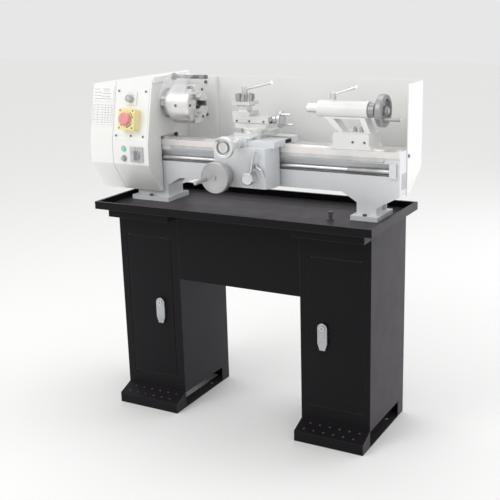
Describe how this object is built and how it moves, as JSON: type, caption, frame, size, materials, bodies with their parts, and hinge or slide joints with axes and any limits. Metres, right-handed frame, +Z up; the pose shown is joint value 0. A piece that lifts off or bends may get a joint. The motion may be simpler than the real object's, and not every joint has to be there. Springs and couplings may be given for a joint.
{
  "type": "metal lathe",
  "caption": "Bench metalworking lathe on a black cabinet stand with chip tray, doors, three-jaw chuck, carriage, tailstock and splash guard.",
  "frame": {"origin": "on the floor at the centre of the stand's anchor holes", "axes": "+X from the headstock to the tailstock, +Y away from the operator, +Z up"},
  "size_m": [1.035, 0.3813, 1.077],
  "materials": {
    "stand_black": "satin powder coat",
    "latch_chrome": "polished",
    "steel_dark": "black oxide",
    "steel_bright": "ground",
    "casting_grey": "semi-gloss machine enamel",
    "casing_white": "semi-gloss enamel",
    "casting_white": "semi-gloss enamel",
    "chuck_steel": "turned",
    "guard_clear": "clear polycarbonate",
    "wheel_grey": "moulded",
    "wheel_silver": "satin",
    "belt_rubber": "matte",
    "panel_face": "satin",
    "knob_dark": "moulded",
    "switch_grey": "moulded",
    "estop_yellow": "moulded",
    "estop_red": "moulded",
    "lamp_green": "translucent",
    "motor_grey": "painted"
  },
  "bodies": {
    "stand": {"left_cabinet": "stand_black", "right_cabinet": "stand_black", "centre_panel": "stand_black", "tray_brackets": "stand_black", "foot_rests": "stand_black", "chip_tray": "stand_black", "drain_plug": "steel_dark", "fixings": "steel_dark", "bed": "casting_grey", "rack": "steel_bright", "screw_bracket": "steel_dark", "headstock": "casting_grey", "spindle_bearings": "steel_bright", "motor": "motor_grey", "drive_belt": "belt_rubber", "headstock_cover": "casing_white", "control_panel": "panel_face", "estop_box": "estop_yellow", "power_lamp": "lamp_green", "fuse_holder": "knob_dark", "switch_plate": "switch_grey", "guard_pivot": "steel_dark", "splash_guard": "casing_white"},
    "left_door": {"left_door": "stand_black"},
    "right_door": {"right_door": "stand_black"},
    "left_latch": {"left_latch": "latch_chrome"},
    "right_latch": {"right_latch": "latch_chrome"},
    "gear_cover": {"gear_cover": "casing_white"},
    "spindle": {"spindle": "steel_bright", "chuck": "chuck_steel", "spindle_pulley": "wheel_silver", "spindle_gear": "steel_bright"},
    "jaw_1": {"jaw_1": "steel_bright"},
    "jaw_2": {"jaw_2": "steel_bright"},
    "jaw_3": {"jaw_3": "steel_bright"},
    "idler_gear": {"idler_gear": "steel_bright"},
    "lead_screw": {"lead_screw": "steel_bright", "screw_gear": "steel_bright"},
    "motor_shaft": {"motor_pulley": "wheel_silver"},
    "chuck_guard": {"chuck_guard": "guard_clear"},
    "carriage": {"saddle": "casting_grey", "apron": "casting_grey"},
    "apron_handwheel": {"apron_handwheel": "wheel_grey"},
    "half_nut_lever": {"half_nut_lever": "wheel_silver"},
    "carriage_lever": {"carriage_lever": "wheel_silver"},
    "cross_handwheel": {"cross_handwheel": "wheel_silver"},
    "cross_slide": {"cross_slide": "steel_bright"},
    "swivel_base": {"swivel_base": "steel_bright"},
    "compound_slide": {"compound_slide": "steel_bright"},
    "compound_handwheel": {"compound_handwheel": "wheel_silver"},
    "tool_post": {"tool_post": "steel_bright", "clamp_screws": "steel_dark"},
    "tool_post_lever": {"tool_post_lever": "wheel_silver"},
    "tailstock": {"tailstock": "casting_white"},
    "quill": {"quill": "steel_bright"},
    "quill_lever": {"quill_lever": "wheel_silver"},
    "tailstock_handwheel": {"tailstock_handwheel": "wheel_grey"},
    "speed_knob": {"speed_knob": "knob_dark"},
    "switch_knob": {"switch_knob": "knob_dark"},
    "estop_button": {"estop_button": "estop_red"}
  },
  "joints": [
    {"name": "left_door_hinge", "type": "hinge", "parent": "stand", "child": "left_door", "pos_m": [-0.4045, -0.102, 0.337], "axis": [0, 0, -1], "range_deg": [0, 110]},
    {"name": "right_door_hinge", "type": "hinge", "parent": "stand", "child": "right_door", "pos_m": [0.4045, -0.102, 0.337], "axis": [0, 0, 1], "range_deg": [0, 110]},
    {"name": "left_latch_lift", "type": "hinge", "parent": "left_door", "child": "left_latch", "pos_m": [-0.2865, -0.109, 0.373], "axis": [-1, 0, 0], "range_deg": [0, 25]},
    {"name": "right_latch_lift", "type": "hinge", "parent": "right_door", "child": "right_latch", "pos_m": [0.2865, -0.109, 0.373], "axis": [-1, 0, 0], "range_deg": [0, 25]},
    {"name": "gear_cover_hinge", "type": "hinge", "parent": "stand", "child": "gear_cover", "pos_m": [-0.46075, 0.1795, 0.87], "axis": [0, 0, -1], "range_deg": [0, 100]},
    {"name": "spindle_spin", "type": "hinge", "parent": "stand", "child": "spindle", "pos_m": [-0.33, 0.04, 0.979], "axis": [1, 0, 0], "continuous": true},
    {"name": "idler_spin", "type": "hinge", "parent": "stand", "child": "idler_gear", "pos_m": [-0.494, 0.01376, 0.91735], "axis": [1, 0, 0], "continuous": true},
    {"name": "lead_screw_spin", "type": "hinge", "parent": "stand", "child": "lead_screw", "pos_m": [0, 0.002, 0.811], "axis": [1, 0, 0], "continuous": true},
    {"name": "motor_spin", "type": "hinge", "parent": "stand", "child": "motor_shaft", "pos_m": [-0.45, 0.133, 0.79], "axis": [1, 0, 0], "continuous": true},
    {"name": "jaw_1_slide", "type": "slide", "parent": "spindle", "child": "jaw_1", "axis": [0, -0.5, 0.866], "range_m": [-0.01, 0.008]},
    {"name": "jaw_2_slide", "type": "slide", "parent": "spindle", "child": "jaw_2", "axis": [0, -0.5, -0.866], "range_m": [-0.01, 0.008]},
    {"name": "jaw_3_slide", "type": "slide", "parent": "spindle", "child": "jaw_3", "axis": [0, 1, 0], "range_m": [-0.01, 0.008]},
    {"name": "chuck_guard_hinge", "type": "hinge", "parent": "stand", "child": "chuck_guard", "pos_m": [-0.25, 0.078, 1.059], "axis": [-1, 0, 0], "range_deg": [0, 95]},
    {"name": "carriage_slide", "type": "slide", "parent": "stand", "child": "carriage", "axis": [1, 0, 0], "range_m": [-0.08, 0.06]},
    {"name": "apron_wheel_turn", "type": "hinge", "parent": "carriage", "child": "apron_handwheel", "pos_m": [-0.051, -0.1, 0.785], "axis": [0, 1, 0], "range_deg": [-643, 482.25]},
    {"name": "half_nut_turn", "type": "hinge", "parent": "carriage", "child": "half_nut_lever", "pos_m": [0.048, -0.1, 0.785], "axis": [0, 1, 0], "range_deg": [0, 40]},
    {"name": "carriage_lock_turn", "type": "hinge", "parent": "carriage", "child": "carriage_lever", "pos_m": [0.063, -0.09, 0.819], "axis": [0, 1, 0], "range_deg": [-40, 20]},
    {"name": "cross_wheel_turn", "type": "hinge", "parent": "carriage", "child": "cross_handwheel", "pos_m": [0, -0.15, 0.883], "axis": [0, 1, 0], "range_deg": [-3607.2, 3156.3]},
    {"name": "cross_slide_travel", "type": "slide", "parent": "carriage", "child": "cross_slide", "axis": [0, 1, 0], "range_m": [-0.035, 0.04]},
    {"name": "compound_swivel", "type": "hinge", "parent": "cross_slide", "child": "swivel_base", "pos_m": [0, 0.025, 0.91], "axis": [0, 0, 1], "range_deg": [-45, 30]},
    {"name": "compound_wheel_turn", "type": "hinge", "parent": "compound_slide", "child": "compound_handwheel", "pos_m": [0.09, 0.025, 0.944], "axis": [1, 0, 0], "range_deg": [-3607.2, 5410.8]},
    {"name": "compound_travel", "type": "slide", "parent": "swivel_base", "child": "compound_slide", "axis": [1, 0, 0], "range_m": [-0.03, 0.02]},
    {"name": "tool_post_index", "type": "hinge", "parent": "compound_slide", "child": "tool_post", "pos_m": [-0.03, 0.025, 0.97], "axis": [0, 0, 1], "range_deg": [0, 90]},
    {"name": "tool_post_lever_turn", "type": "hinge", "parent": "compound_slide", "child": "tool_post_lever", "pos_m": [-0.03, 0.025, 1.01], "axis": [0, 0, 1], "range_deg": [-30, 60]},
    {"name": "tailstock_slide", "type": "slide", "parent": "stand", "child": "tailstock", "axis": [1, 0, 0], "range_m": [-0.07, 0]},
    {"name": "tailstock_wheel_turn", "type": "hinge", "parent": "tailstock", "child": "tailstock_handwheel", "pos_m": [0.4, 0.04, 0.979], "axis": [1, 0, 0], "range_deg": [-2339.77, 3599.64]},
    {"name": "quill_travel", "type": "slide", "parent": "tailstock", "child": "quill", "axis": [-1, 0, 0], "range_m": [-0.0261, 0.0401]},
    {"name": "quill_lock_turn", "type": "hinge", "parent": "tailstock", "child": "quill_lever", "pos_m": [0.255, 0.04, 1.01], "axis": [0, 0, 1], "range_deg": [0, 75]},
    {"name": "speed_knob_turn", "type": "hinge", "parent": "stand", "child": "speed_knob", "pos_m": [-0.398, -0.06137, 1.00073], "axis": [0, -0.9762, 0.2169], "range_deg": [0, 270]},
    {"name": "switch_knob_turn", "type": "hinge", "parent": "stand", "child": "switch_knob", "pos_m": [-0.366, -0.095, 0.829], "axis": [0, 1, 0], "range_deg": [-60, 60]},
    {"name": "estop_press", "type": "slide", "parent": "stand", "child": "estop_button", "axis": [0, 0.9762, -0.2169], "range_m": [0, 0.0035], "stiffness_N_per_m": 400}
  ],
  "couplings": [
    {"joint": "idler_spin", "follows": "spindle_spin", "ratio": -0.42553},
    {"joint": "lead_screw_spin", "follows": "spindle_spin", "ratio": 0.33333},
    {"joint": "motor_spin", "follows": "spindle_spin", "ratio": 2},
    {"joint": "jaw_2_slide", "follows": "jaw_1_slide", "ratio": 1},
    {"joint": "jaw_3_slide", "follows": "jaw_1_slide", "ratio": 1},
    {"joint": "apron_wheel_turn", "follows": "carriage_slide", "rad_per_m": 140},
    {"joint": "cross_wheel_turn", "follows": "cross_slide_travel", "rad_per_m": -1570.8},
    {"joint": "compound_wheel_turn", "follows": "compound_travel", "rad_per_m": -3141.6},
    {"joint": "quill_travel", "follows": "tailstock_wheel_turn", "m_per_rad": 0.00063662}
  ]
}
